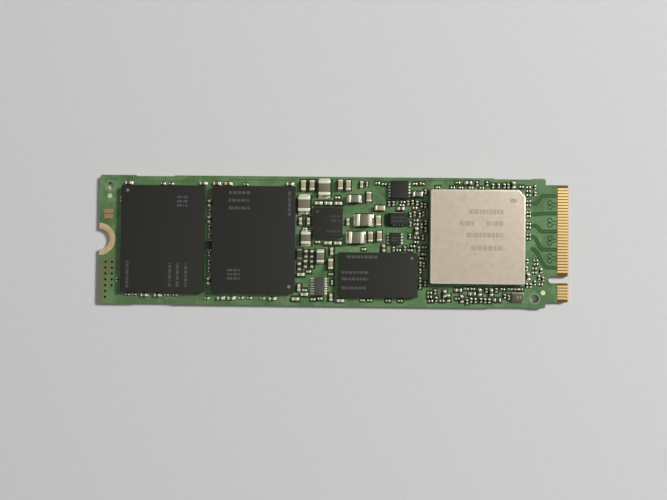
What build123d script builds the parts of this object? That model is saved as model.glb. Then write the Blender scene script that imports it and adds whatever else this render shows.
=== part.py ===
from build123d import *
import os

# Bare 22 x 80 mm plug-in solid-state drive: a green board with a half-round screw notch at -X,
# a keyed contact tongue at +X and every chip on the top face. Sizes are in millimetres.
# The underside lies on Z = 0 and the board is centred on X = 0 and Y = 0.

# board
board_width = 22.0
board_thickness = 0.8
board_corner = 0.4
plating = 0.04              # metal filling the openings of the green mask, flush with it
notch_radius = 1.75         # half-round screw notch
ring_width = 1.0
registration_radius = 0.68
via_radius = 0.18
via_pitch = 1.0
dot_radius = 0.4
test_pad_length = 1.5
test_pad_width = 0.66
test_pad_pitch = 0.9
tab_recess = 0.15           # left by the tabs that held the board in its panel
tab_length = 6.8
tab_inset = 9.5

# contact tongue
tongue_length = 4.0
tongue_width = 19.85
tongue_corner = 0.4
bare_length = 2.1           # tongue end without green mask
bevel_length = 0.25
bevel_height = 0.14
key_width = 1.2
key_depth = 3.5
contact_pitch = 0.5
contact_width = 0.35
contact_length = 1.75
last_before_key = 58
first_after_key = 67
last_contact = 75

# packages in a row from the notch end
end_margin = 4.2
memory_length = 14.0
memory_width = 18.0
memory_gap = 1.35
memory_y = 0.15
supply_strip = 7.4
dram_length = 13.3
dram_width = 7.5
dram_y = -5.6
decoupling_strip = 1.9
controller_size = 16.0
controller_y = 0.95
contact_zone = 7.85

# chip rows along the long edges
row_gap = 0.6               # from the lowest package to the lower row
near_rows = 2.3             # depth of the rows between the controller and the lower row

# package heights
ball_height = 0.2
memory_substrate = 0.25
memory_mould = 0.75
dram_substrate = 0.2
dram_mould = 0.65
controller_substrate = 0.4
lid_height = 0.85
lid_margin = 0.1            # substrate showing round the lid
lid_wall = 1.6
lid_roof = 0.45
lid_cut = 1.1
lid_corner = 0.35
lid_edge = 0.1
die_length = 8.4
die_width = 7.0
paste_thickness = 0.05
paste_margin = 0.4

# lands under the flat chips
land_thickness = 0.1
land_width = 0.25
land_length = 0.6
leadless_overhang = 0.1     # lands that hardly show beside the body
lead_overhang = 0.32        # lands that stand out

crystal_length = 2.0
crystal_width = 1.6
crystal_base_height = 0.35
crystal_lid_height = 0.2
crystal_rim = 0.1

end_wrap = 0.02             # metal of a tinned end round the ceramic it holds

board_length = (end_margin + 2 * memory_length + memory_gap + supply_strip + dram_length
                + decoupling_strip + controller_size + contact_zone)
notch_end = -board_length / 2
contact_end = board_length / 2
shoulder = contact_end - tongue_length
left_memory_x = notch_end + end_margin + memory_length / 2
right_memory_x = left_memory_x + memory_length + memory_gap
gap_x = (left_memory_x + right_memory_x) / 2
memory_top = memory_y + memory_width / 2
memory_bottom = memory_y - memory_width / 2
left_memory_edge = left_memory_x - memory_length / 2
right_memory_edge = right_memory_x - memory_length / 2
supply_edge = right_memory_x + memory_length / 2
dram_x = supply_edge + supply_strip + dram_length / 2
dram_right = dram_x + dram_length / 2
dram_bottom = dram_y - dram_width / 2
controller_x = dram_right + decoupling_strip + controller_size / 2
controller_left = controller_x - controller_size / 2
controller_right = controller_x + controller_size / 2
controller_top = controller_y + controller_size / 2
controller_bottom = controller_y - controller_size / 2
lower_row = min(memory_bottom, dram_bottom, controller_bottom - near_rows) - row_gap
upper_edge = board_width / 2
lower_edge = -board_width / 2

ON_BASE = (Align.CENTER, Align.CENTER, Align.MIN)
UNDER_FACE = (Align.CENTER, Align.CENTER, Align.MAX)

os.makedirs("parts", exist_ok=True)


def hand_in(builder, name):
    """Label one finished piece and write its file."""
    builder.part.label = name
    export_step(builder.part, f"parts/{name}.step")


def contact_y(number):
    """Contacts are numbered across both faces, so a face has every second one."""
    return (last_contact - 1) * contact_pitch / 4 - (number - 1) * contact_pitch / 2


def lifted(points, height):
    return [(x, y, height) for x, y in points]


key_y = contact_y((last_before_key + first_after_key) / 2)
registration_holes = [(notch_end + 1.8, upper_edge - 1.9), (shoulder - 1.8, lower_edge + 1.65)]
alignment_dots = [(notch_end + 1.7, upper_edge - 3.6), (shoulder - 0.4, lower_edge + 2.65)]
test_pads = [(notch_end + 1.55, 4.8 - i * test_pad_pitch) for i in range(2)]
via_holes = [(notch_end + 1.15, -3.9 - i * via_pitch) for i in range(7)]
via_holes += [(notch_end + 2.25, -3.9 - i * via_pitch) for i in range(5)]

# laminate
with BuildPart() as circuit_board:
    with BuildSketch() as outline:
        with Locations((-tongue_length / 2, 0)):
            Rectangle(board_length - tongue_length, board_width)
        fillet(outline.vertices(), board_corner)
        with Locations((shoulder, 0)):
            Rectangle(2 * tongue_length, tongue_width)
        fillet(outline.vertices().group_by(Axis.X)[-1], tongue_corner)
        with Locations((notch_end, 0)):
            Circle(notch_radius, mode=Mode.SUBTRACT)
        with Locations((contact_end, key_y)):
            SlotOverall(2 * key_depth, key_width, mode=Mode.SUBTRACT)
        with Locations(*registration_holes):
            Circle(registration_radius, mode=Mode.SUBTRACT)
        with Locations(*via_holes):
            Circle(via_radius, mode=Mode.SUBTRACT)
        with GridLocations(board_length - 2 * tab_inset, board_width, 2, 2):
            Polygon(
                (-tab_length / 2, 0),
                (-tab_length / 2 + 2 * tab_recess, -tab_recess),
                (tab_length / 2 - 2 * tab_recess, -tab_recess),
                (tab_length / 2, 0),
                (tab_length / 2 - 2 * tab_recess, tab_recess),
                (-tab_length / 2 + 2 * tab_recess, tab_recess),
                mode=Mode.SUBTRACT,
            )
    extrude(amount=board_thickness)
    # openings of the mask: tongue end with its bevel on both faces, ring, dots and pads
    with BuildSketch(Plane.XZ):
        for face, inward in ((board_thickness, -1), (0, 1)):
            with BuildLine():
                Polyline(
                    (contact_end - bare_length, face),
                    (contact_end - bare_length, face + inward * plating),
                    (contact_end - bevel_length, face + inward * plating),
                    (contact_end, face + inward * bevel_height),
                    (contact_end, face),
                    close=True,
                )
            make_face()
    extrude(amount=board_width, both=True, mode=Mode.SUBTRACT)
    with Locations((notch_end, 0, board_thickness), (notch_end, 0, plating)):
        Cylinder(notch_radius + ring_width, plating, align=UNDER_FACE, mode=Mode.SUBTRACT)
    with Locations(*lifted(alignment_dots, board_thickness)):
        Cylinder(dot_radius, plating, align=UNDER_FACE, mode=Mode.SUBTRACT)
    with Locations(*lifted(test_pads, board_thickness)):
        Box(test_pad_length, test_pad_width, plating, align=UNDER_FACE, mode=Mode.SUBTRACT)
hand_in(circuit_board, "circuit_board")

# plated half rings round the screw notch, one in each face
with BuildPart() as notch_plating:
    with BuildSketch(Plane.XY, Plane.XY.offset(board_thickness - plating)):
        with Locations((notch_end, 0)):
            Circle(notch_radius + ring_width)
            Circle(notch_radius, mode=Mode.SUBTRACT)
            Rectangle(board_width, board_width, align=(Align.MAX, Align.CENTER), mode=Mode.SUBTRACT)
    extrude(amount=plating)
hand_in(notch_plating, "notch_plating")

with BuildPart() as dots:
    with Locations(*lifted(alignment_dots, board_thickness)):
        Cylinder(dot_radius, plating, align=UNDER_FACE)
hand_in(dots, "alignment_dots")

with BuildPart() as pads:
    with Locations(*lifted(test_pads, board_thickness)):
        Box(test_pad_length, test_pad_width, plating, align=UNDER_FACE)
hand_in(pads, "test_pads")

# contact fingers: odd numbers on top, even numbers below, none at the key
top_numbers = [n for n in range(1, last_contact + 1, 2) if n <= last_before_key or n >= first_after_key]
under_numbers = [n for n in range(2, last_contact, 2) if n <= last_before_key or n > first_after_key]
finger_x = contact_end - bevel_length - contact_length / 2
with BuildPart() as contacts_top:
    with Locations(*[(finger_x, contact_y(n), board_thickness) for n in top_numbers]):
        Box(contact_length, contact_width, plating, align=UNDER_FACE)
hand_in(contacts_top, "contacts_top")
with BuildPart() as contacts_underside:
    with Locations(*[(finger_x, contact_y(n), plating) for n in under_numbers]):
        Box(contact_length, contact_width, plating, align=UNDER_FACE)
hand_in(contacts_underside, "contacts_underside")


def moulded_package(name, x, y, length, width, substrate, mould):
    """Carrier held up by its solder balls and the black mould sawn to the same outline."""
    base = board_thickness + ball_height
    with BuildPart(Plane((x, y, base))) as carrier:
        Box(length, width, substrate, align=ON_BASE)
    hand_in(carrier, f"{name}_substrate")
    with BuildPart(Plane((x, y, base + substrate))) as cap:
        Box(length, width, mould, align=ON_BASE)
    hand_in(cap, f"{name}_mould")


moulded_package("left_memory", left_memory_x, memory_y, memory_length, memory_width,
                memory_substrate, memory_mould)
moulded_package("right_memory", right_memory_x, memory_y, memory_length, memory_width,
                memory_substrate, memory_mould)
moulded_package("buffer_memory", dram_x, dram_y, dram_length, dram_width, dram_substrate, dram_mould)

# controller: carrier, die, paste and a stamped lid hollowed over the die
carrier_top = board_thickness + ball_height + controller_substrate
lid_size = controller_size - 2 * lid_margin
cavity_size = lid_size - 2 * lid_wall
cavity_height = lid_height - lid_roof
die_height = cavity_height - paste_thickness
with BuildPart(Plane((controller_x, controller_y, board_thickness + ball_height))) as controller_carrier:
    Box(controller_size, controller_size, controller_substrate, align=ON_BASE)
hand_in(controller_carrier, "controller_substrate")
with BuildPart(Plane((controller_x, controller_y, carrier_top))) as die:
    Box(die_length, die_width, die_height, align=ON_BASE)
hand_in(die, "controller_die")
with BuildPart(Plane((controller_x, controller_y, carrier_top + die_height))) as paste:
    Box(die_length + 2 * paste_margin, die_width + 2 * paste_margin, paste_thickness, align=ON_BASE)
hand_in(paste, "controller_thermal_paste")
with BuildPart() as lid:
    with BuildSketch(Plane((controller_x, controller_y, carrier_top))) as lid_outline:
        Rectangle(lid_size, lid_size)
        chamfer(lid_outline.vertices().sort_by(lambda v: v.X + v.Y)[-1], lid_cut)
        fillet(lid_outline.vertices().sort_by(lambda v: v.X + v.Y)[:3], lid_corner)
    extrude(amount=lid_height)
    chamfer(lid.faces().sort_by(Axis.Z)[-1].edges(), lid_edge)
    with Locations((controller_x, controller_y, carrier_top)):
        Box(cavity_size, cavity_size, cavity_height, align=ON_BASE, mode=Mode.SUBTRACT)
hand_in(lid, "controller_lid")


def flat_chip(name, x, y, length, width, height, side_lands, end_lands, pitch, overhang):
    """Moulded body seated on lands that stand out along its sides (X) and ends (Y)."""
    with BuildPart(Plane((x, y, board_thickness))) as lands:
        if side_lands:
            with GridLocations(length + 2 * overhang - land_length, pitch, 2, side_lands):
                Box(land_length, land_width, land_thickness, align=ON_BASE)
        if end_lands:
            with GridLocations(pitch, width + 2 * overhang - land_length, end_lands, 2):
                Box(land_width, land_length, land_thickness, align=ON_BASE)
    hand_in(lands, f"{name}_lands")
    with BuildPart(Plane((x, y, board_thickness + land_thickness))) as body:
        Box(length, width, height - land_thickness, align=ON_BASE)
    hand_in(body, f"{name}_body")


flat_chip("power_manager", supply_edge + 5.55, 3.2, 5.0, 5.0, 0.9, 8, 8, 0.5, leadless_overhang)
flat_chip("logic_chip", supply_edge + 4.2, -7.65, 1.7, 3.0, 0.8, 7, 0, 0.42, lead_overhang)
flat_chip("filter_chip", gap_x, memory_y - 1.0, 0.8, 1.5, 0.5, 0, 2, 0.5, leadless_overhang)
flat_chip("upper_regulator", controller_left - 5.0, 8.85, 3.0, 3.0, 0.8, 5, 0, 0.5, lead_overhang)
flat_chip("middle_regulator", controller_left - 5.15, 3.9, 3.0, 2.0, 0.8, 0, 4, 0.5, leadless_overhang)
flat_chip("lower_regulator", controller_left - 5.7, 0.55, 2.0, 2.0, 0.6, 4, 0, 0.5, lead_overhang)

# crystal: ceramic tub and rounded metal lid
crystal_place = (controller_x + 7.1, lower_row + 0.8, board_thickness)
with BuildPart(Plane(crystal_place)) as crystal_base:
    Box(crystal_length, crystal_width, crystal_base_height, align=ON_BASE)
hand_in(crystal_base, "crystal_base")
with BuildPart() as crystal_lid:
    with BuildSketch(Plane(crystal_place).offset(crystal_base_height)):
        RectangleRounded(crystal_length - 2 * crystal_rim, crystal_width - 2 * crystal_rim, 0.25)
    extrude(amount=crystal_lid_height)
hand_in(crystal_lid, "crystal_lid")


def chip_family(name, length, width, height, end_length, along_x, along_y):
    """All chips of one size: ceramic bodies, each held between two tinned ends."""
    seats = [Location((x, y, board_thickness)) for x, y in along_x]
    seats += [Location((x, y, board_thickness), (0, 0, 90)) for x, y in along_y]
    with BuildPart() as bodies:
        with Locations(*seats):
            with Locations((0, 0, end_wrap)):
                Box(length - 2 * end_length, width - 2 * end_wrap, height - 2 * end_wrap, align=ON_BASE)
    hand_in(bodies, f"{name}_bodies")
    with BuildPart() as ends:
        with Locations(*seats):
            with GridLocations(length - end_length, 0, 2, 1):
                Box(end_length, width, height, align=ON_BASE)
    hand_in(ends, f"{name}_ends")


def above_memory(gap, along):
    return [(left_memory_edge + x, memory_top + gap) for x in along]


def below_memory(edge, gap, along):
    return [(edge + x, memory_bottom - gap) for x in along]


def in_memory_gap(heights):
    return [(gap_x, memory_y + y) for y in heights]


def in_supply(places):
    return [(supply_edge + x, y) for x, y in places]


def west(places):
    return [(controller_left + x, y) for x, y in places]


def north(places):
    return [(controller_x + x, controller_top + gap) for x, gap in places]


def east(places):
    return [(controller_right + x, controller_y + y) for x, y in places]


def south(places):
    return [(controller_x + x, controller_bottom - gap) for x, gap in places]


def in_lower_row(datum, places):
    return [(datum + x, lower_row + rise) for x, rise in places]


# power inductors and the largest capacitors
chip_family("power_inductor", 2.5, 2.0, 1.0, 0.55,
            in_supply([(11.6, 3.6), (10.3, 0.65)]),
            in_supply([(4.85, 9.0), (1.45, 6.25)]))
chip_family("small_inductor", 2.0, 1.6, 0.9, 0.45, [], in_supply([(1.8, 0.5)]))
chip_family("capacitor_0805", 2.0, 1.25, 1.0, 0.4, in_supply([(9.95, 7.2)]), in_supply([(4.3, -2.6)]))
chip_family("capacitor_0603", 1.6, 0.8, 0.8, 0.3,
            in_supply([(14.3, 5.7)]) + west([(-1.95, 8.1)]),
            in_supply([(1.3, 9.45), (2.75, 9.45), (7.55, 9.6), (8.9, 9.5), (12.4, 7.6),
                       (14.05, 3.55), (12.75, 0.8), (14.25, 0.95), (6.05, -3.85)]))
chip_family("resistor_0603", 1.6, 0.8, 0.45, 0.3, [], in_supply([(0.7, -2.25)]))

# middle size
chip_family("capacitor_0402", 1.0, 0.5, 0.5, 0.25,
            above_memory(0.5, [0.8, 13.5, 15.85, 17.8, 28.3])
            + below_memory(left_memory_edge, 0.6, [3.75, 6.0])
            + in_lower_row(right_memory_edge, [(1.4, 0.1), (3.2, 0.1), (10.2, 0.1), (14.1, 0.1)])
            + in_supply([(3.85, 6.45), (5.55, 6.45), (7.25, 6.45), (5.5, -0.3), (7.2, -0.3),
                         (0.95, -5.7), (1.6, -9.05)])
            + in_lower_row(dram_x, [(-6.3, -0.1)])
            + west([(-4.75, 5.65)])
            + north([(-1.3, 1.2)])
            + south([(-2.9, 1.0), (-0.55, 1.6)]),
            in_memory_gap([6.1, 3.35, -7.1])
            + in_supply([(6.2, -1.7), (0.85, 3.35), (2.2, 3.35), (8.9, 3.3), (11.15, 9.7),
                         (0.7, -7.95), (6.15, -9.5)])
            + west([(-2.05, 1.9), (-7.6, -1.1)])
            + north([(6.3, 0.88)])
            + east([(0.87, -6.6)])
            + south([(-5.2, 1.65), (0.7, 1.3), (2.65, 1.3)]))
chip_family("resistor_0402", 1.0, 0.5, 0.35, 0.2,
            in_lower_row(controller_x, [(3.7, 0.3)]),
            in_supply([(1.85, -2.2), (2.85, -2.2), (1.75, -3.9), (2.85, -3.9), (0.7, -4.35)])
            + in_lower_row(controller_x, [(-4.55, 0.55), (-2.3, 0.4)]))

# smallest size; the pairs east of the controller stand in the four data lanes
lane_pitch = 1.9
lane_spacing = 0.67
lane_pairs = [(0.9, 5.84 - i * lane_pitch + side * lane_spacing / 2) for i in range(4) for side in (1, -1)]
chip_family("capacitor_0201", 0.6, 0.3, 0.3, 0.15,
            above_memory(0.4, [6.6, 8.0, 20.8])
            + below_memory(left_memory_edge, 0.53, [0.85, 2.0, 7.55, 9.0])
            + in_lower_row(right_memory_edge, [(-0.97, 0.0), (4.85, 0.15), (6.3, 0.15), (8.5, 0.1)])
            + in_supply([(1.6, 4.7), (1.6, 2.1), (3.8, -0.15), (2.3, -5.2), (6.1, -5.6), (1.65, -8.35),
                         (7.1, 7.45), (13.85, 9.95), (15.0, 9.8)])
            + in_lower_row(supply_edge, [(3.1, 0.05), (4.3, 0.2)])
            + in_lower_row(dram_x, [(x, 0.0) for x in (-2.55, -1.35, 1.8, 3.85)])
            + [(dram_x - 2.45, dram_y + dram_width / 2 + 0.55)]
            + west([(-2.35, 9.9), (-1.15, 9.95), (-4.4, 6.8), (-4.55, 6.25), (-2.35, 5.8), (-2.15, 3.7),
                    (-2.15, 3.0), (-2.0, 0.75), (-2.05, 0.0), (-2.65, -0.7), (-3.1, -1.4), (-5.05, -1.4),
                    (-0.7, -0.85), (-0.75, -2.05), (-1.15, -2.75)])
            + north([(-6.45, 0.37), (-3.97, 0.37), (-2.55, 0.37), (-0.85, 0.37), (0.95, 0.37),
                     (7.65, 0.6), (-3.1, 1.22)])
            + east(lane_pairs)
            + south([(-1.55, 0.75), (-0.45, 0.75), (4.6, 0.75), (5.85, 0.72), (6.9, 0.75), (7.65, 0.75)]),
            [(left_memory_edge - 0.55, 6.85), (left_memory_edge - 1.0, -6.9)]
            + in_memory_gap([4.7, 1.95, 0.55, -2.5, -4.0, -5.2])
            + in_supply([(6.3, -7.0), (12.1, 9.8)])
            + [(dram_right + 0.55, dram_y + y) for y in (1.9, 0.7, -0.75, -1.9)]
            + west([(-6.75, 6.5), (-6.0, 6.55), (-3.5, 6.65), (-2.75, 6.75), (-2.0, 6.65), (-1.2, 6.3),
                    (-0.6, 6.25), (-3.1, 4.6), (-2.4, 4.8), (-1.55, 4.6), (-0.9, 4.8), (-3.1, 3.05),
                    (-1.2, 2.8), (-0.5, 3.35), (-0.5, 2.15), (-3.15, 1.0), (-0.95, 0.85), (-1.6, -1.15),
                    (-5.9, -1.2), (-4.0, -1.1), (-0.75, -3.8), (-0.5, -7.0), (-0.55, 8.6)]))
chip_family("resistor_0201", 0.6, 0.3, 0.25, 0.15,
            east([(0.85, 8.55), (0.85, 7.9), (0.85, 7.2), (2.17, -3.85), (2.17, -4.5), (1.9, -5.2),
                  (1.9, -5.9), (2.95, -7.9)])
            + south([(-7.75, 1.5)])
            + in_lower_row(controller_x, [(-7.75, 0.7), (-7.55, 0.0), (-5.65, 0.05), (-3.05, 0.45)]),
            north([(0.15, 1.09), (1.85, 1.1), (2.85, 0.76), (3.8, 0.76), (4.8, 0.76), (5.45, 0.76)])
            + east([(2.0, 8.55), (2.0, 7.45), (0.72, -4.0), (0.64, -5.3), (3.05, -5.6), (2.7, -6.75),
                    (3.4, -6.95), (2.0, -7.65), (0.7, -8.1), (1.3, -8.1)])
            + south([(-6.8, 1.35), (1.85, 1.0), (3.5, 0.95), (4.95, 1.95)])
            + in_lower_row(controller_x, [(-6.6, 0.3), (-1.4, -0.05), (-0.7, 0.2), (0.0, 0.15), (0.95, 0.2),
                                          (1.65, 0.15), (2.35, 0.15), (5.65, 0.75)]))
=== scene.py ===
# %% [markdown]
# # A bare plug-in solid-state drive
# The CAD frame holds every solid of the drive at its real size: the green board, the packages and two
# hundred chip components. This lesson gives them their finish and adds what is too small for CAD, such as
# rounded edges, solder, copper tracks and laser marks. Everything stays in the CAD frame: metres, board
# centred on the origin, underside on Z = 0.

# %% Load the frame
import math
import bpy
import numpy as np
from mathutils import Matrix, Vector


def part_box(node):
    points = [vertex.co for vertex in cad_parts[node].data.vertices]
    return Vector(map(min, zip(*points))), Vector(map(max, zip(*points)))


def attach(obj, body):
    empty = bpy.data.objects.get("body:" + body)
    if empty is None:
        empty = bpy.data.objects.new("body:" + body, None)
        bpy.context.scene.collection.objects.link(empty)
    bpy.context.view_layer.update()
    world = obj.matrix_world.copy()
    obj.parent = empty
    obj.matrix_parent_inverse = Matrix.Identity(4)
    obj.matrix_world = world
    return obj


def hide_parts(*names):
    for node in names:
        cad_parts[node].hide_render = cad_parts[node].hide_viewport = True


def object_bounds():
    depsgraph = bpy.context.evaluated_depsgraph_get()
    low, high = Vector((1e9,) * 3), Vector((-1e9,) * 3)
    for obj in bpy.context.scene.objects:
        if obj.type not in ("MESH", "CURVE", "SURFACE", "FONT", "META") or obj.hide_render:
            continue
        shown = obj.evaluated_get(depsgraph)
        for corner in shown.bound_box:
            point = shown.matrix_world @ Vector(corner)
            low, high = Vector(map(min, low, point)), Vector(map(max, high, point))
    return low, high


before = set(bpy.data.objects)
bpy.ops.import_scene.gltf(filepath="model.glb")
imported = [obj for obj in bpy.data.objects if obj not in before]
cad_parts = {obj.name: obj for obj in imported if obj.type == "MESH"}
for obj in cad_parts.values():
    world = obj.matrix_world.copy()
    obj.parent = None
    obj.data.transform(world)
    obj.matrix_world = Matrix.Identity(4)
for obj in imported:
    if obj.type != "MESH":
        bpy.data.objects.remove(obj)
cad_low, cad_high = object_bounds()
MM = 0.001
cad_size = np.round((np.array(cad_high) - np.array(cad_low)) / MM, 2)
print("frame holds", len(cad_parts), "nodes,", cad_size, "mm")

# %% [markdown]
# ## Reading sizes from the frame
# Most pieces here are small boxes in groups: all the tinned ends of one chip size are one CAD node. A CAD
# box comes in as 24 vertices, four to a face, so the array of vertices can be folded into boxes and
# measured in one step. Typed places would work too, but would no longer follow the frame.

# %% Measure the boxes of a node
BOX_POINTS = 24


def boxes_of(node):
    """Lowest and highest corners of every box in a CAD node: the least and the most of each 24 points."""
    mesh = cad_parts[node].data
    flat = np.empty(len(mesh.vertices) * 3)
    mesh.vertices.foreach_get("co", flat)
    corners = flat.reshape(-1, BOX_POINTS, 3)
    return corners.min(1), corners.max(1)


board_low, board_high = np.array(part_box("circuit_board"))
TOP = board_high[2]
NOTCH_END, CONTACT_END = board_low[0], board_high[0]
end_low, end_high = boxes_of("capacitor_0201_ends")
print("smallest chips:", len(end_low), "ends of", np.round((end_high - end_low)[0] / MM, 3), "mm")

# %% [markdown]
# ## Turning arrays into pieces
# A piece is an array of points and a list of faces. One helper puts both into a mesh with its material,
# rides it on the frame's only body, and hides the CAD nodes it stands for. Edges sharper than 40 degrees
# stay sharp in the shading. The faces of a grid are quads between neighbouring points, and their numbers
# follow from rows and columns.

# %% Helpers for pieces
SHARP_ANGLE = math.radians(40)


def new_object(name, data):
    """An object of this data, linked into the scene."""
    thing = bpy.data.objects.new(name, data)
    bpy.context.scene.collection.objects.link(thing)
    return thing


def add_piece(name, points, faces, material, slot, replaced=(), shade=None):
    """One mesh piece, its place in its points; a shade from 0 to 1 is stretched over them for the finish."""
    mesh = bpy.data.meshes.new(name)
    mesh.from_pydata(points.reshape(-1, 3).tolist(), [], faces)
    mesh.update()
    mesh.shade_smooth()
    mesh.set_sharp_from_angle(angle=SHARP_ANGLE)
    mesh.materials.append(material)
    if shade is not None:
        layer = mesh.attributes.new("shade", "FLOAT", "POINT")
        shade = np.broadcast_to(shade, points.shape[:-1]).astype(np.float32)
        layer.data.foreach_set("value", shade.ravel())
    piece = new_object(name, mesh)
    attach(piece, "root")
    if replaced:
        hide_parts(*replaced)
    print(f"{name}: {len(mesh.vertices)} points, {len(mesh.polygons)} faces")


print("edges over", round(math.degrees(SHARP_ANGLE)), "degrees stay sharp")

# %% Helpers for faces and levels
def grid_faces(count, rows, columns, closed=True):
    """Quads of count grids laid one after another; closed joins the last column to the first."""
    r = np.arange(rows - 1)[:, None]
    c = np.arange(columns if closed else columns - 1)
    d = (c + 1) % columns
    ring = [r * columns + c, r * columns + d, (r + 1) * columns + d, (r + 1) * columns + c]
    quad = np.stack(np.broadcast_arrays(*ring), -1).reshape(1, -1, 4)
    start = np.arange(count)[:, None, None] * rows * columns
    return (quad + start).reshape(-1, 4).tolist()


def capped_faces(count, rows, columns):
    """Faces of closed rings stacked from first to last row, with one flat face over each end."""
    start = np.arange(count)[:, None] * rows * columns
    last = start + (rows - 1) * columns + np.arange(columns)
    first = start + np.arange(columns)[::-1]
    return grid_faces(count, rows, columns) + last.tolist() + first.tolist()


def raised(flat, level):
    """Flat points (..., 2) with a height as third coordinate: the level, stretched over all of them."""
    level = np.broadcast_to(level, flat.shape[:-1])
    return np.concatenate([flat, level[..., None]], -1)


print("a stack of two square rings has", len(capped_faces(1, 2, 4)), "faces")

# %% [markdown]
# ## Rounded blocks
# Nothing on a circuit board has a knife edge: moulded packages, dipped ends and plated pads all have a
# small radius that catches the light. A Bevel modifier could add it, but hundreds of boxes are quicker as
# one array: a rounded outline is repeated at the foot and at the shoulder of each box, and the last rings
# are drawn in along a quarter circle. One flat face closes the top.

# %% Helpers for rounded blocks
def directions(turn):
    """Unit vectors (..., 2) at angles from +X: their cosine and sine."""
    return np.stack([np.cos(turn), np.sin(turn)], -1)


def corner_outline(steps):
    """Signs of the four corners, and directions round them from k to k + 1 quarter turns, anticlockwise."""
    turn = (np.arange(4)[:, None] + np.linspace(0, 1, steps)) * math.pi / 2
    signs = np.array([(1, 1), (-1, 1), (-1, -1), (1, -1)]).repeat(steps, 0)
    return signs, directions(turn).reshape(-1, 2)


def rounded_blocks(low, high, corner, edge, corner_steps=3, edge_steps=3):
    """Points (blocks, rings, outline, 3) and faces of boxes with round corners and a round top edge.

    Up the edge, the inset is its radius times 1 - cosine, the rise its radius times sine of a quarter turn.
    """
    low, high = np.atleast_2d(low), np.atleast_2d(high)
    signs, out = corner_outline(corner_steps)
    half = (high - low)[:, None, :2] / 2
    outline = signs * (half - corner) + out * corner
    quarter = np.linspace(0, math.pi / 2, edge_steps + 1)
    inset = np.concatenate([[0.0], edge * (1 - np.cos(quarter))])
    ring = ((low + high) / 2)[:, None, None, :2] + outline[:, None] - out * inset[:, None, None]
    level = np.concatenate([low[:, 2:], high[:, 2:] + edge * (np.sin(quarter) - 1)], 1)
    return raised(ring, level[:, :, None]), capped_faces(*ring.shape[:3])


def round_off(node, name, corner, edge, steps, finish, slot):
    """One piece of rounded blocks in place of a CAD node of boxes; radii in mm, steps of corner and edge."""
    points, faces = rounded_blocks(*boxes_of(node), corner * MM, edge * MM, *steps)
    add_piece(name, points, faces, finish, slot, [node])


print("with three steps a corner, an outline has", len(corner_outline(3)[0]), "points")

# %% [markdown]
# ## One grain for every surface
# Moulding compound, plating and ceramic all have a fine grain that differs only in size and depth. A node
# group holds the noise and the bump once, and each material sets the two numbers. Noise reads Object
# coordinates, which are metres here, so a scale of 10000 makes grains of about 0.1 mm.

# %% Grain group
def set_inputs(node, values):
    """Writes fixed values into the named sockets of a node."""
    for socket, value in values.items():
        node.inputs[socket].default_value = value


def link(source, target):
    """Joins two sockets of one node tree."""
    source.id_data.links.new(source, target)


grain = bpy.data.node_groups.new("fine grain", "ShaderNodeTree")
for socket in ("Scale", "Depth"):
    grain.interface.new_socket(socket, in_out="INPUT", socket_type="NodeSocketFloat")
grain.interface.new_socket("Speckle", in_out="OUTPUT", socket_type="NodeSocketFloat")
grain.interface.new_socket("Normal", in_out="OUTPUT", socket_type="NodeSocketVector")
g_in = grain.nodes.new("NodeGroupInput")
g_out = grain.nodes.new("NodeGroupOutput")
g_place = grain.nodes.new("ShaderNodeTexCoord")
g_noise = grain.nodes.new("ShaderNodeTexNoise")
set_inputs(g_noise, {"Detail": 3.0})
g_bump = grain.nodes.new("ShaderNodeBump")
link(g_place.outputs["Object"], g_noise.inputs["Vector"])
link(g_in.outputs["Scale"], g_noise.inputs["Scale"])
link(g_in.outputs["Depth"], g_bump.inputs["Distance"])
link(g_noise.outputs["Fac"], g_bump.inputs["Height"])
link(g_noise.outputs["Fac"], g_out.inputs["Speckle"])
link(g_bump.outputs["Normal"], g_out.inputs["Normal"])
print("grain group:", len(grain.nodes), "nodes")

# %% [markdown]
# ## Finishes
# A finish is a dark and a light colour, how rough and how metallic it is, and its grain. The grain's own
# noise blends the two colours, so that no surface is one flat tone. Where the blocks of one piece differ,
# as chips from one reel do, part of the blend comes from a shade that each block carries; on the lid the
# same shade paints a highlight along the rim. Dull tin is a darker tin for the power manager's lands and
# the ends of the one large resistor, and dull copper is for the empty lands, where the copper has gone grey.

# %% Grained material
MICRON = 0.000001


def grained(name, dark, light, roughness, metallic, scale, depth, by_piece=0.0, specular=0.5):
    """Principled material: dark plus (light - dark) times the grain's noise, with bump depth in micrometres.

    by_piece is how much of each block's own shade takes the place of the noise.
    """
    material = bpy.data.materials.new(name)
    material.use_nodes = True
    tree = material.node_tree
    principled = tree.nodes["Principled BSDF"]
    set_inputs(principled, {"Roughness": roughness, "Metallic": metallic, "Specular IOR Level": specular})
    group = tree.nodes.new("ShaderNodeGroup")
    group.node_tree = grain
    set_inputs(group, {"Scale": scale, "Depth": depth * MICRON})
    mix = tree.nodes.new("ShaderNodeMix")
    mix.data_type = "RGBA"
    set_inputs(mix, {"A": (*dark, 1), "B": (*light, 1)})
    link(mix.outputs["Result"], principled.inputs["Base Color"])
    link(group.outputs["Normal"], principled.inputs["Normal"])
    amount = group.outputs["Speckle"]
    if by_piece:
        own = tree.nodes.new("ShaderNodeAttribute")
        own.attribute_name = "shade"
        blend = tree.nodes.new("ShaderNodeMix")
        set_inputs(blend, {"Factor": by_piece})
        link(amount, blend.inputs["A"])
        link(own.outputs["Fac"], blend.inputs["B"])
        amount = blend.outputs["Result"]
    link(amount, mix.inputs["Factor"])
    return material


print("bump depths are in units of", MICRON, "m")

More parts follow.
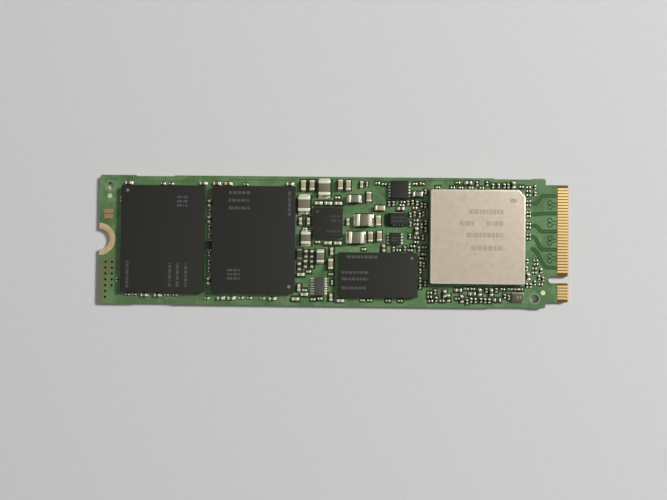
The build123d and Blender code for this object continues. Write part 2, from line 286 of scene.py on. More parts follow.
# %% Mould, carrier and metal finishes
# Dark and light colour, roughness, metallic, scale and depth of the grain, share of the block's own shade.
mould_black = grained("mould black", (0.017, 0.017, 0.014), (0.033, 0.032, 0.026), 0.55, 0.0, 14000, 6,
                      specular=0.2)
mould_brown = grained("mould brown", (0.046, 0.043, 0.034), (0.074, 0.069, 0.055), 0.60, 0.0, 14000, 6)
carrier_dark = grained("carrier laminate", (0.03, 0.07, 0.03), (0.06, 0.12, 0.05), 0.45, 0.0, 9000, 2)
# The lid's shade paints a highlight along its rim.
lid_nickel = grained("lid nickel", (0.455, 0.35, 0.22), (0.755, 0.675, 0.565), 0.34, 0.7, 900, 6, 0.5)
contact_gold = grained("contact gold", (0.79, 0.53, 0.18), (0.92, 0.67, 0.30), 0.30, 0.65, 6000, 2)
ring_gold = grained("ring gold", (0.57, 0.38, 0.16), (0.85, 0.67, 0.38), 0.46, 0.5, 1800, 6)
bare_copper = grained("bare copper", (0.42, 0.20, 0.09), (0.54, 0.28, 0.135), 0.50, 0.5, 5000, 3)
dull_copper = grained("dull copper", (0.13, 0.095, 0.045), (0.19, 0.145, 0.075), 0.60, 0.2, 5000, 3)
tinned_metal = grained("tinned metal", (0.76, 0.72, 0.555), (0.94, 0.91, 0.725), 0.33, 0.5, 9000, 8)
dull_tin = grained("dull tin", (0.13, 0.13, 0.10), (0.24, 0.235, 0.19), 0.45, 0.4, 9000, 8)
dot_tin = grained("dot tin", (0.62, 0.60, 0.35), (0.76, 0.73, 0.46), 0.45, 0.4, 6000, 3)
crystal_metal = grained("crystal metal", (0.145, 0.12, 0.086), (0.215, 0.183, 0.138), 0.24, 1.0, 8000, 4)
die_silicon = grained("die silicon", (0.20, 0.21, 0.24), (0.26, 0.27, 0.30), 0.12, 0.9, 8000, 1)
thermal_paste = grained("thermal paste", (0.45, 0.45, 0.46), (0.58, 0.58, 0.58), 0.6, 0.0, 8000, 10)
print("materials so far:", len(bpy.data.materials))

# %% Ceramic, ferrite and glaze finishes
capacitor_tan = grained("capacitor tan", (0.13, 0.125, 0.09), (0.60, 0.475, 0.27), 0.38, 0.0, 9000, 3, 0.85)
capacitor_grey = grained("capacitor grey", (0.15, 0.15, 0.11), (0.22, 0.215, 0.165), 0.38, 0.0, 9000, 3, 0.5)
capacitor_brown = grained("capacitor brown", (0.075, 0.055, 0.033), (0.48, 0.44, 0.33), 0.38, 0.0, 9000, 3,
                          0.85)
ferrite_grey = grained("ferrite grey", (0.125, 0.114, 0.074), (0.21, 0.195, 0.130), 0.50, 0.0, 7000, 8, 0.3)
resistor_glaze = grained("resistor glaze", (0.020, 0.016, 0.010), (0.055, 0.046, 0.032), 0.28, 0.0, 8000, 2,
                         0.3)
crystal_ceramic = grained("crystal ceramic", (0.42, 0.38, 0.28), (0.54, 0.49, 0.375), 0.5, 0.0, 8000, 3)
print("materials so far:", len(bpy.data.materials))

# %% [markdown]
# ## Helpers for shader nodes
# The board and the floor change colour from place to place. Each helper makes one node and links it, in the
# node tree that the incoming socket belongs to. By hand this is done in the shader editor; in a script, short
# helpers keep the formula readable.

# %% Ramp, sum and blend
def step_node(source, low, high, falling=False):
    """An even ramp of one value, from 0 at low to 1 at high, or from 1 to 0 if falling."""
    ramp = source.id_data.nodes.new("ShaderNodeMapRange")
    start, end = (1.0, 0.0) if falling else (0.0, 1.0)
    set_inputs(ramp, {"From Min": low, "From Max": high, "To Min": start, "To Max": end})
    link(source, ramp.inputs["Value"])
    return ramp.outputs["Result"]


def math_node(operation, a, b):
    """One sum on two values, a (operation) b; b may be a number or another socket."""
    node = a.id_data.nodes.new("ShaderNodeMath")
    node.operation = operation
    link(a, node.inputs[0])
    if isinstance(b, float):
        node.inputs[1].default_value = b
    else:
        link(b, node.inputs[1])
    return node.outputs["Value"]


def colour_node(factor, below, above):
    """Blend of two colours, below plus (above - below) times the factor; either may be another socket."""
    node = factor.id_data.nodes.new("ShaderNodeMix")
    node.data_type = "RGBA"
    for socket, value in (("A", below), ("B", above)):
        if isinstance(value, tuple):
            node.inputs[socket].default_value = (*value, 1)
        else:
            link(value, node.inputs[socket])
    link(factor, node.inputs["Factor"])
    return node.outputs["Result"]


# %% [markdown]
# ## The green board
# A circuit board is pale glass laminate under a thin green lacquer, the solder mask. Over copper the mask
# looks light, over bare laminate dark, and the sawn edges show the laminate itself. Copper is poured in
# areas with narrow gaps between them, which two Voronoi patterns of square distance give: a gap lies where
# the nearest and the second nearest cell are equally far. The CAD solid is kept, and one material tells the
# places apart: the edges by the direction of the face, and by X and Y the bare tongue with its pale bevel
# and the olive corner round the via holes. A painted picture would do too, but this follows the frame.

# %% Copper areas under the mask
mask_over_gap, mask_over_copper = (0.047, 0.112, 0.033), (0.169, 0.303, 0.127)
CLOUD_SCALE, CLOUD_RANGE, CLOUD_SHARE = 340.0, (0.28, 0.72), 0.55
POUR_SCALE, GAP_RANGE, POUR_SHARE = 560.0, (-0.06, 0.07), 0.45

mask = bpy.data.materials.new("board mask")
mask.use_nodes = True
tree = mask.node_tree
place = tree.nodes.new("ShaderNodeTexCoord").outputs["Object"]
clouds = tree.nodes.new("ShaderNodeTexNoise")
set_inputs(clouds, {"Scale": CLOUD_SCALE, "Detail": 5.0})
link(place, clouds.inputs["Vector"])
blotch = step_node(clouds.outputs["Fac"], *CLOUD_RANGE)
pours = []
for feature in ("F1", "F2"):
    cells = tree.nodes.new("ShaderNodeTexVoronoi")
    cells.voronoi_dimensions = "2D"
    cells.distance = "CHEBYCHEV"
    cells.feature = feature
    set_inputs(cells, {"Scale": POUR_SCALE})
    link(place, cells.inputs["Vector"])
    pours.append(cells)
area = math_node("MULTIPLY", pours[0].outputs["Color"], POUR_SHARE)
tone = math_node("ADD", math_node("MULTIPLY", blotch, CLOUD_SHARE), area)
copper = math_node("SUBTRACT", pours[1].outputs["Distance"], pours[0].outputs["Distance"])
tone = math_node("MULTIPLY", tone, step_node(copper, *GAP_RANGE))
green = colour_node(tone, mask_over_gap, mask_over_copper)
print("mask pattern:", len(tree.nodes), "nodes")

# %% Olive corner and bare tongue
olive_mask, bare_tongue, pale_bevel = (0.150, 0.160, 0.068), (0.125, 0.062, 0.006), (0.60, 0.45, 0.28)
OLIVE_SLANT, OLIVE_SHARE = 0.35, 0.8
OLIVE_ALONG = (NOTCH_END + 3.4 * MM, NOTCH_END + 5.2 * MM)
OLIVE_ACROSS = (-4.2 * MM, -2.0 * MM)
TONGUE_LENGTH, SOFT_LIMIT = 2.1 * MM, 0.02 * MM

axes = tree.nodes.new("ShaderNodeSeparateXYZ")
link(place, axes.inputs["Vector"])
board_x, board_y = axes.outputs["X"], axes.outputs["Y"]
slant = math_node("SUBTRACT", board_x, math_node("MULTIPLY", board_y, OLIVE_SLANT))
near_notch = step_node(slant, *OLIVE_ALONG, True)
olive = math_node("MULTIPLY", near_notch, step_node(board_y, *OLIVE_ACROSS, True))
green = colour_node(math_node("MULTIPLY", olive, OLIVE_SHARE), green, olive_mask)
tongue_start = CONTACT_END - TONGUE_LENGTH
on_tongue = step_node(board_x, tongue_start - SOFT_LIMIT, tongue_start + SOFT_LIMIT)
green = colour_node(on_tongue, green, bare_tongue)
finger_end = boxes_of("contacts_top")[1][:, 0].max()
on_bevel = step_node(board_x, finger_end - SOFT_LIMIT / 2, finger_end + SOFT_LIMIT / 2)
green = colour_node(on_bevel, green, pale_bevel)
print("bare from X =", round(tongue_start / MM, 2), "mm, bevelled from", round(finger_end / MM, 2), "mm")

# %% Sawn edges and grain
sawn_laminate, STEEP_RANGE = (0.24, 0.26, 0.14), (0.3, 0.9)
MASK_GRAIN = 2600


def dress(node, finish):
    """Gives its finish to a CAD node that stays as it is."""
    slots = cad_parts[node].data.materials
    slots.clear()
    slots.append(finish)


facing = tree.nodes.new("ShaderNodeSeparateXYZ")
link(tree.nodes.new("ShaderNodeNewGeometry").outputs["Normal"], facing.inputs["Vector"])
steep = step_node(math_node("ABSOLUTE", facing.outputs["Z"], 0.0), *STEEP_RANGE, True)
green = colour_node(steep, green, sawn_laminate)
mask_grain = tree.nodes.new("ShaderNodeGroup")
mask_grain.node_tree = grain
set_inputs(mask_grain, {"Scale": MASK_GRAIN, "Depth": 6 * MICRON})
principled = tree.nodes["Principled BSDF"]
set_inputs(principled, {"Roughness": 0.38, "Specular IOR Level": 0.3})
link(green, principled.inputs["Base Color"])
link(mask_grain.outputs["Normal"], principled.inputs["Normal"])
dress("circuit_board", mask)
print("board", np.round((board_high - board_low) / MM, 2), "mm, finish of", len(tree.nodes), "nodes")

# %% [markdown]
# ## Tracks and clearances
# Five pairs of fast data lines run from the contacts to small capacitors beside the controller. They show
# as dark lines, because the copper round them is cleared away and bare laminate lies under the mask. Each
# line is a ribbon: a path across the board whose Y follows a smooth step, with a width to both sides. The
# round double loops between the pairs are the clearances of ground vias. All lie a few micrometres above
# the mask so that they show, and their feet are sunk in it so that no gap opens.

# %% Helpers for ribbons
SUNK, PROUD = 0.01 * MM, 0.004 * MM


def sideways(path, closed=False):
    """Unit vectors square to a path: its direction, from step to step, turned a quarter to the left."""
    along = np.roll(path, -1, 1) - np.roll(path, 1, 1) if closed else np.gradient(path, axis=1)
    along = along / np.linalg.norm(along, axis=-1, keepdims=True)
    return np.stack([-along[..., 1], along[..., 0]], -1)


def ribbons(path, width, closed=False, rise=PROUD):
    """Flat strips along paths (paths, steps, 2): half the width to both sides, from sunk foot to rise."""
    side = sideways(path, closed) * width / 2
    flat = np.stack([path - side, path + side, path + side, path - side], 2)
    points = raised(flat, TOP + np.array([-SUNK, -SUNK, rise, rise]))
    if closed:
        points = np.concatenate([points, points[:, :1]], 1)
        return points, grid_faces(*points.shape[:3])
    return points, capped_faces(*points.shape[:3])


def lacquered(name, dark, light):
    """Finish of a thin piece in the mask, with the board's own grain."""
    return grained(name, dark, light, 0.40, 0.0, MASK_GRAIN, 4, specular=0.2)


mask_gap = lacquered("mask over laminate", (0.020, 0.068, 0.017), (0.030, 0.092, 0.024))
mask_band = lacquered("mask between lines", (0.040, 0.115, 0.030), (0.052, 0.140, 0.040))
print("materials so far:", len(bpy.data.materials))

# %% Fast lines
lanes = np.array([  # Y at the contacts, Y at the capacitors, X where the bend starts and where it ends, in mm
    (8.10, 6.78, 35.6, 34.2), (5.10, 4.92, 35.6, 34.2), (2.05, 3.00, 35.4, 34.2), (-1.02, 1.10, 35.5, 33.9),
    (-4.08, -0.95, 36.3, 33.8)]) * MM
LANE_LENGTH, LANE_STEPS = 4.4 * MM, 60
LINE_WIDTH, LINE_OFFSET = 0.23 * MM, 0.22 * MM
BAND_WIDTH, BAND_RISE = 0.40 * MM, 0.002 * MM

contact_y, capacitor_y, bend_start, bend_end = lanes.T[:, :, None]
x = tongue_start - np.linspace(0, 1, LANE_STEPS) * LANE_LENGTH
bend = np.clip((bend_start - x) / (bend_start - bend_end), 0, 1)
bend = bend * bend * (3 - 2 * bend)
y = contact_y + (capacitor_y - contact_y) * bend
path = np.stack([np.broadcast_to(x, y.shape), y], -1)
across = sideways(path) * LINE_OFFSET
lines = np.concatenate([path + across, path - across])
add_piece("lane_clearances", *ribbons(lines, LINE_WIDTH), mask_gap, "green_mask")
add_piece("lane_bands", *ribbons(path, BAND_WIDTH, rise=BAND_RISE), mask_band, "green_mask")

# %% Loops, necks and edge tracks
pair_y = np.array([6.55, 3.55, 0.50, -2.50])  # middle of each pair of loops in mm
LOOP_CENTRE, LOOP_RADII, LOOP_TURN = np.array([36.70, 0.40]), np.array([0.36, 0.38]), 310  # mm, mm, degrees
NECK_START, NECK_LENGTH, NECK_SHIFT = np.array([36.98, 0.30]), 0.88, 0.06  # mm
LOOP_WIDTH, NECK_WIDTH, EDGE_TRACK_WIDTH = 0.20 * MM, 0.17 * MM, 0.11 * MM
LOOP_STEPS, NECK_STEPS = 40, 8
edge_tracks = np.array([  # X where it starts and where it ends, and Y, in mm
    (-33.0, -23.2, 10.02), (-18.0, -8.0, 10.35), (-4.5, 8.6, 10.62), (13.5, 23.0, 10.55)]) * MM


def beside_pairs(path):
    """A path in mm and its mirror image in Y, repeated at the middle of every pair."""
    both = np.stack([path, path * (1, -1)])[:, None]
    middle = np.stack([np.zeros_like(pair_y), pair_y], -1)[:, None]
    return (both + middle).reshape(-1, *path.shape) * MM


loop = LOOP_CENTRE + LOOP_RADII * directions(np.radians(np.linspace(0, LOOP_TURN, LOOP_STEPS)))
share = np.linspace(0, 1, NECK_STEPS)
neck = NECK_START + np.stack([NECK_LENGTH * share, -NECK_SHIFT * np.minimum(1, 2 * share)], -1)
add_piece("ground_via_clearances", *ribbons(beside_pairs(loop), LOOP_WIDTH), mask_gap, "green_mask")
add_piece("ground_neck_clearances", *ribbons(beside_pairs(neck), NECK_WIDTH), mask_gap, "green_mask")
x = edge_tracks[:, :1] + (edge_tracks[:, 1:2] - edge_tracks[:, :1]) * share
grooves = np.stack(np.broadcast_arrays(x, edge_tracks[:, 2:]), -1)
add_piece("edge_track_clearances", *ribbons(grooves, EDGE_TRACK_WIDTH), mask_band, "green_mask")

# %% [markdown]
# ## Tinned ends and ceramic bodies
# Each chip component is a ceramic or glazed body between two tinned caps. All bodies of one size are one
# piece, and so are all caps: two hundred chips make eighteen pieces. The boxes come from the frame and get
# rounded edges. Every body carries its own shade, because parts from one reel never match: the small
# capacitors beside the power parts are pale and the others dark, and one of the larger ones, a filter bead,
# is grey. The one large resistor has dull ends.

# %% Chip components
# Family, finish of the body, record slot; corner radius, edge radius and the solder's reach in mm, and its
# climb as a share of the end's height.
chip_sizes = (
    ("power_inductor", ferrite_grey, "ferrite", 0.10, 0.08, 0.45, 0.45),
    ("small_inductor", ferrite_grey, "ferrite", 0.08, 0.06, 0.35, 0.5),
    ("capacitor_0805", capacitor_grey, "ceramic_tan", 0.07, 0.06, 0.25, 0.6),
    ("capacitor_0603", capacitor_tan, "ceramic_tan", 0.06, 0.05, 0.13, 0.6),
    ("capacitor_0402", capacitor_brown, "ceramic_tan", 0.05, 0.04, 0.16, 0.65),
    ("capacitor_0201", capacitor_brown, "ceramic_tan", 0.04, 0.03, 0.11, 0.7),
    ("resistor_0603", resistor_glaze, "resistor_black", 0.04, 0.03, 0.08, 0.3),
    ("resistor_0402", resistor_glaze, "resistor_black", 0.04, 0.03, 0.16, 0.7),
    ("resistor_0201", resistor_glaze, "resistor_black", 0.03, 0.02, 0.11, 0.75))
POWER_START, POWER_END, BEAD_START = -6.4 * MM, 6.0 * MM, 10.0 * MM
PALE_LEAST, DARK_MOST, TAN_LEAST = 0.7, 0.12, 0.45
CHIP_STEPS = (2, 2)

for seed, (family, finish, slot, corner, edge, *_) in enumerate(chip_sizes):
    points, faces = rounded_blocks(*boxes_of(family + "_bodies"), corner * MM, edge * MM, *CHIP_STEPS)
    shade = np.random.default_rng(seed).uniform(size=(len(points), 1, 1))
    x = points[..., 0].mean((1, 2))[:, None, None]
    if finish == capacitor_brown:
        pale = PALE_LEAST + (1 - PALE_LEAST) * shade
        shade = np.where((x > POWER_START) & (x < POWER_END), pale, DARK_MOST * shade)
    if finish == capacitor_tan:
        shade = np.where(x > BEAD_START, 0.0, TAN_LEAST + (1 - TAN_LEAST) * shade)
    add_piece(family + "_rounded_bodies", points, faces, finish, slot, [family + "_bodies"], shade)
    tin = dull_tin if family == "resistor_0603" else tinned_metal
    round_off(family + "_ends", family + "_tinned_ends", corner, edge, CHIP_STEPS, tin, "solder")

# %% [markdown]
# ## Clearances round the lands, and painted shadow
# Round the lands of every chip the copper is etched away, so that solder cannot bridge, and the mask looks
# dark there. The rims are partly painted shade as well: they are widest beside the power parts and the
# controller, where the crowded chips shade the board, and where chips crowd together they run into one
# field. A rim is a very flat rounded block, a little larger than its chip on all sides, by a width that
# differs along the board. Each lies a hair higher than the one before it, so that no two faces share one
# plane. The last rim, round the middle regulator, is a painted shadow that reaches far out to the left
# and below.

# %% Dark rims and painted shadow
# Dark finish for the land rims, which are partly painted shade, and for the via bores' painted shade.
dark_mask_and_painted_shade = lacquered("dark mask and painted shade", (0.018, 0.036, 0.012), (0.034, 0.060, 0.022))
# Rims are widest beside the power parts and the controller, partly as painted shade among crowded chips.
field_ends = np.array([-6.4, 1.0, 8.0, 32.5]) * MM
clearance_and_shadow_widths = np.array([0.16, 0.38, 0.26, 0.34, 0.20]) * MM
# The middle regulator's rim is a painted shadow that reaches far out to the left and below.
REGULATOR_SHADOW_LOW, REGULATOR_SHADOW_HIGH = np.array([(0.95, 0.40, 0.0), (0.26, 0.05, 0.0)]) * MM
LEAST_RISE, MOST_RISE, RIM_EDGE = 0.0012 * MM, 0.0018 * MM, 0.0004 * MM
RIM_CORNER, REGULATOR_SHADOW_CORNER = 0.12 * MM, 0.60 * MM


def nearest_bodies(family):
    """For every tinned end, the number of the body nearest to it and the way from that body to the end."""
    end, body = (sum(boxes_of(family + part))[:, :2] / 2 for part in ("_ends", "_bodies"))
    way = end[:, None] - body
    nearest = np.linalg.norm(way, axis=-1).argmin(1)
    return nearest, way[np.arange(len(end)), nearest]


low, high = [], []
for family, *_ in chip_sizes:
    end_low, end_high = boxes_of(family + "_ends")
    chip_low, chip_high = boxes_of(family + "_bodies")
    nearest, _ = nearest_bodies(family)
    np.minimum.at(chip_low, nearest, end_low)
    np.maximum.at(chip_high, nearest, end_high)
    width = clearance_and_shadow_widths[np.digitize((chip_low + chip_high)[:, :1] / 2, field_ends)]
    low.append(chip_low - width)
    high.append(chip_high + width)
chip_low, chip_high = boxes_of("middle_regulator_body")
low = np.concatenate([*low, chip_low - REGULATOR_SHADOW_LOW])
high = np.concatenate([*high, chip_high + REGULATOR_SHADOW_HIGH])
low[:, 2] = TOP - SUNK
high[:, 2] = TOP + np.linspace(LEAST_RISE, MOST_RISE, len(high))
corner = np.full((len(low), 1, 1), RIM_CORNER)
corner[-1] = REGULATOR_SHADOW_CORNER
points, faces = rounded_blocks(low, high, corner, RIM_EDGE, edge_steps=1)
add_piece("land_clearances_and_painted_shadow", points, faces, dark_mask_and_painted_shade, "green_mask")

# %% [markdown]
# ## Solder fillets
# In the oven the solder paste melts and climbs the end of each chip, so a small shining slope joins it to
# the board. A fillet is a grid in two directions: away from the chip it falls as (1 - t) squared, and
# across it stays level and drops at the sides as 1 - s to the eighth. Which way is away follows from the
# body nearest to each end. Flat faces close the back and the foot.

# %% Fillet at every tinned end
ROWS, ACROSS = 5, 7
FILLET_LAP, FILLET_FOOT, FILLET_TAPER = 0.03 * MM, 0.003 * MM, 0.12
t, s = np.meshgrid(np.linspace(0, 1, ROWS), np.linspace(-1, 1, ACROSS), indexing="ij")


def solder_fillets(family, reach, climb):
    """Points (ends, rows, across, 3) of the slopes at the ends of one chip family.

    The height is climb times the end's height times (1 - t) squared times (1 - s to the eighth). The sides
    draw in by the taper times t squared, and the slope laps a little over its end.
    """
    low, high = boxes_of(family + "_ends")
    away = nearest_bodies(family)[1]
    outward = np.eye(2)[np.abs(away).argmax(1)] * np.sign(away)
    turned = np.stack([-outward[:, 1], outward[:, 0]], -1)
    half = (high - low)[:, :2] / 2
    depth = (half * np.abs(outward)).sum(1)[:, None, None]
    width = (half * np.abs(turned)).sum(1)[:, None, None]
    out = depth - FILLET_LAP + (reach + FILLET_LAP) * t
    side = (width + FILLET_LAP) * s * (1 - FILLET_TAPER * t * t)
    rise = climb * (high - low)[:, 2, None, None] * (1 - t) ** 2 * (1 - s ** 8)
    way = outward[:, None, None] * out[..., None] + turned[:, None, None] * side[..., None]
    return raised((low + high)[:, None, None, :2] / 2 + way, TOP + FILLET_FOOT + rise)


fillets = [solder_fillets(family, reach * MM, climb) for family, *_, reach, climb in chip_sizes]
fillets = np.concatenate(fillets)
grid = np.arange(ROWS * ACROSS).reshape(ROWS, ACROSS)
back = grid[0]
foot = np.concatenate([grid[0, [0, -1]], grid[1:, -1], grid[-1, -2::-1], grid[-2:0:-1, 0]])
start = np.arange(len(fillets))[:, None] * ROWS * ACROSS
faces = np.array(grid_faces(len(fillets), ROWS, ACROSS, closed=False))[:, ::-1].tolist()
faces += (start + back).tolist() + (start + foot).tolist()
add_piece("solder_fillets", fillets, faces, tinned_metal, "solder")

# %% [markdown]
# ## Moulded packages
# A memory package is a thin laminate carrier with black epoxy moulded over it and sawn to size, so its
# sides are straight and its top edges almost sharp. The carrier shows as a thin line round the foot. Both
# are rounded blocks with very small radii; the smaller chips have the same build with larger ones. The
# power manager's lands are dull. The solder of the side-lead chip runs out past its two rows of leads as
# toes, further on the left than on the right: its lands are lengthened and rounded once more.

# %% Packages and small chips
# Corner radius and edge radius in mm, and the steps of both.
MOULD_ROUND, CHIP_ROUND, LAND_ROUND = (0.10, 0.05, (4, 3)), (0.08, 0.05, (4, 3)), (0.05, 0.04, (2, 2))
CARRIER_ROUND, LID_CARRIER_ROUND = (0.10, 0.01, (4, 2)), (0.15, 0.02, (4, 2))

for package in ("left_memory", "right_memory", "buffer_memory"):
    round_off(package + "_mould", package + "_cast", *MOULD_ROUND, mould_black, "mould")
    round_off(package + "_substrate", package + "_carrier", *CARRIER_ROUND, carrier_dark, "carrier")
round_off("controller_substrate", "controller_carrier", *LID_CARRIER_ROUND, carrier_dark, "carrier")
for chip in ("power_manager", "logic_chip", "filter_chip", "upper_regulator", "middle_regulator",
             "lower_regulator"):
    mould = mould_brown if chip == "logic_chip" else mould_black
    round_off(chip + "_body", chip + "_cast", *CHIP_ROUND, mould, "mould")
    tin = dull_tin if chip == "power_manager" else tinned_metal
    round_off(chip + "_lands", chip + "_tinned_lands", *LAND_ROUND, tin, "solder")

# %% Solder toes
LEFT_TOE, RIGHT_TOE, TOE_HEIGHT = 0.40 * MM, 0.10 * MM, 0.07 * MM
TOE_CORNER, TOE_EDGE = 0.08 * MM, 0.06 * MM
low, high = boxes_of("logic_chip_lands")
left_row = low[:, 0] < low[:, 0].mean()
low[left_row, 0] -= LEFT_TOE
high[~left_row, 0] += RIGHT_TOE
low[:, 2] = TOP - SUNK
high[:, 2] = TOP + TOE_HEIGHT
add_piece("logic_chip_solder_toes", *rounded_blocks(low, high, TOE_CORNER, TOE_EDGE), tinned_metal, "solder")

# %% [markdown]
# ## Solder balls
# The large packages stand on a field of solder balls about a fifth of a millimetre high, and from the side
# they show in the gap as a row of small barrels. A ball is a profile turned round a vertical axis: its
# radius bulges as the cosine of the height. One grid of centres per package repeats it.

# %% Ball fields
ball_fields = (  # package, pitch, margin and radius in mm
    ("left_memory", 1.0, 0.8, 0.24), ("right_memory", 1.0, 0.8, 0.24), ("buffer_memory", 0.8, 0.6, 0.21),
    ("controller", 0.65, 0.5, 0.19))
BALL_WAIST, BALL_RINGS, BALL_SIDES = 0.8, 4, 8


def unit_circle(steps):
    """Points round a circle of radius 1: directions at even parts of one turn, anticlockwise."""
    return directions(np.linspace(0, 2 * math.pi, steps, endpoint=False))


def ball_field(package, pitch, margin, radius):
    """Barrels from board to carrier; the radius swells from 0.8 to 1 and back as the cosine of the height."""
    low, high = (corner[0] for corner in boxes_of(package + "_substrate"))
    count = np.floor((high - low)[:2] / pitch - 2 * margin / pitch).astype(int) + 1
    x, y = ((np.arange(n) - (n - 1) / 2) * pitch + c for n, c in zip(count, (low + high)[:2] / 2))
    centre = np.stack(np.meshgrid(x, y), -1).reshape(-1, 1, 1, 2)
    lift = np.linspace(-1, 1, BALL_RINGS)[:, None]
    swell = radius * (BALL_WAIST + (1 - BALL_WAIST) * np.cos(lift * math.pi / 2))
    ring = centre + swell[..., None] * unit_circle(BALL_SIDES)
    return raised(ring, TOP + (low[2] - TOP) * (lift + 1) / 2), capped_faces(*ring.shape[:3])


via_centres = []
for package, pitch, margin, radius in ball_fields:
    points, faces = ball_field(package, pitch * MM, margin * MM, radius * MM)
    add_piece(package + "_solder_balls", points, faces, tinned_metal, "solder")
    via_centres.append(points[:, 0, :, :2].mean(1) + pitch * MM / 2)

# %% [markdown]
# ## Vias under the packages
# Copper barrels, filled and lacquered over, carry the balls' signals to the other layers, so on the underside
# only small dark dots show, half a pitch beside the balls. Each is a very flat eight-sided disc; a seeded
# draw leaves some places out, since not every ball needs one.

# %% Lacquered vias on the underside
VIA_SHARE, VIA_SEED, VIA_SIDES = 0.4, 5, 8
VIA_RADIUS, VIA_PROUD = 0.11 * MM, 0.003 * MM


def discs(centre, outline, foot, top):
    """Flat discs: the outline round each centre, once at the foot's level and once at the top's."""
    ring = np.repeat(centre[:, None, None] + outline, 2, 1)
    level = np.stack(np.broadcast_arrays(foot, top), -1).reshape(-1, 2, 1)
    return raised(ring, level), capped_faces(*ring.shape[:3])


via_centres = np.concatenate(via_centres)
via_centres = via_centres[np.random.default_rng(VIA_SEED).uniform(size=len(via_centres)) < VIA_SHARE]
points, faces = discs(via_centres, VIA_RADIUS * unit_circle(VIA_SIDES), -VIA_PROUD, SUNK)
add_piece("underside_lacquered_vias", points, faces, mask_gap, "green_mask")

# %% [markdown]
# ## The controller's lid
# The controller is covered by a stamped, nickel-plated lid that carries heat away from the die. One corner
# is cut to show which way round it goes, and the rim is rounded by the press. A narrow band along the rim
# is a painted highlight: its nickel is lighter, as where an edge catches the light. The form is a stack of
# outlines: from the pocket over the die down its wall, out along the foot, up the outer wall and over the
# rim in a quarter circle. An outline drawn in by d keeps its sides parallel when the cut gets shorter by d
# times 2 minus the root of 2.

# %% Lid
LID_RIM, LID_WALL, LID_ROOF, POCKET_DRAFT = 0.07 * MM, 1.6 * MM, 0.45 * MM, 0.02 * MM
LID_CORNER, LID_CUT, LEAST_RADIUS = 0.35 * MM, 1.1 * MM, 0.1 * MM
# The band nearest the rim takes a lighter shade: a painted highlight along the edge.
HIGHLIGHT_BAND_END, PLAIN_START, FLAT_START = 0.22 * MM, 0.32 * MM, 0.5 * MM
PAINTED_HIGHLIGHT_SHADE, PLAIN_SHADE = 1.0, 0.5
LID_STEPS = 6


def lid_outline(inset, half, steps=LID_STEPS):
    """Square with three round corners and one cut straight at +X +Y, all drawn in by the inset."""
    half = half - inset
    radius = max(LID_CORNER - inset, LEAST_RADIUS)
    cut = max(LID_CUT - inset * (2 - math.sqrt(2)), LEAST_RADIUS)
    signs, out = corner_outline(steps)
    outline = signs * (half - radius) + out * radius
    along = np.linspace(0, 1, steps)[:, None]
    outline[:steps] = np.array([half, half - cut]) * (1 - along) + np.array([half - cut, half]) * along
    return outline


low, high = np.array(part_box("controller_lid"))
quarter = np.linspace(0, math.pi / 2, LID_STEPS)
inset = np.concatenate([[LID_WALL + POCKET_DRAFT, LID_WALL, 0.0], LID_RIM * (1 - np.cos(quarter)),
                        [HIGHLIGHT_BAND_END, PLAIN_START, FLAT_START]])
level = np.concatenate([[high[2] - LID_ROOF, low[2], low[2]], high[2] - LID_RIM + LID_RIM * np.sin(quarter),
                        np.full(3, high[2])])
rings = np.stack([lid_outline(d, (high - low)[0] / 2) for d in inset])
points = raised(rings + (low + high)[:2] / 2, level[:, None])
# Rings near the rim get the lighter shade, a painted highlight.
shade = np.where(inset < PLAIN_START, PAINTED_HIGHLIGHT_SHADE, PLAIN_SHADE)[:, None]
faces = capped_faces(1, *points.shape[:2])
add_piece("controller_pressed_lid", points, faces, lid_nickel, "nickel", ["controller_lid"], shade)

# %% [markdown]
# ## Crystal
# The clock crystal is a small ceramic tub with a welded metal lid. Both are rounded blocks, the lid with a
# rounder outline. The CAD lid is no plain box, so it is measured as a whole.

# %% Crystal
TUB_ROUND = (0.12, 0.03, (5, 2))  # radii of corner and edge in mm, and the steps of both
CAP_CORNER, CAP_EDGE, CAP_STEPS = 0.25 * MM, 0.06 * MM, (6, 4)
round_off("crystal_base", "crystal_tub", *TUB_ROUND, crystal_ceramic, "ceramic_white")
points, faces = rounded_blocks(*np.array(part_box("crystal_lid")), CAP_CORNER, CAP_EDGE, *CAP_STEPS)
add_piece("crystal_cap", points, faces, crystal_metal, "nickel", ["crystal_lid"])

# %% [markdown]
# ## Gold contacts and the plated notch
# The fingers are gold on nickel on copper, a few hundredths of a millimetre thick, and worn round at their
# edges. The notch takes a screw head, so it is plated on both faces and down its wall: a channel profile
# carried along a half circle. Keeping the two CAD half rings would leave the wall bare.

# %% Contacts and notch
notch_profile = np.array([  # radius and height in mm: along the faces and the wall, then back along the board
    (2.75, 0.0), (1.79, 0.0), (1.75, 0.02), (1.73, 0.06), (1.73, 0.74), (1.75, 0.78), (1.79, 0.8),
    (2.75, 0.8), (2.75, 0.76), (1.76, 0.76), (1.76, 0.04), (2.75, 0.04)]) * MM
NOTCH_STEPS = 49
FINGER_ROUND = (0.06, 0.002, (3, 1))  # radii in mm, and the steps of both


def carried_round(profile, turn):
    """A profile of radius and height carried round Z: radius times the direction of each turn."""
    radius, height = profile.T
    return raised(radius[:, None] * directions(turn)[:, None], height)


for row in ("contacts_top", "contacts_underside"):
    round_off(row, row + "_gold", *FINGER_ROUND, contact_gold, "gold")
half_turn = np.linspace(-math.pi / 2, math.pi / 2, NOTCH_STEPS)
points = carried_round(notch_profile, half_turn) + (NOTCH_END, 0.0, 0.0)
faces = capped_faces(1, *points.shape[:2])
add_piece("notch_gold_channel", points, faces, ring_gold, "gold", ["notch_plating"])
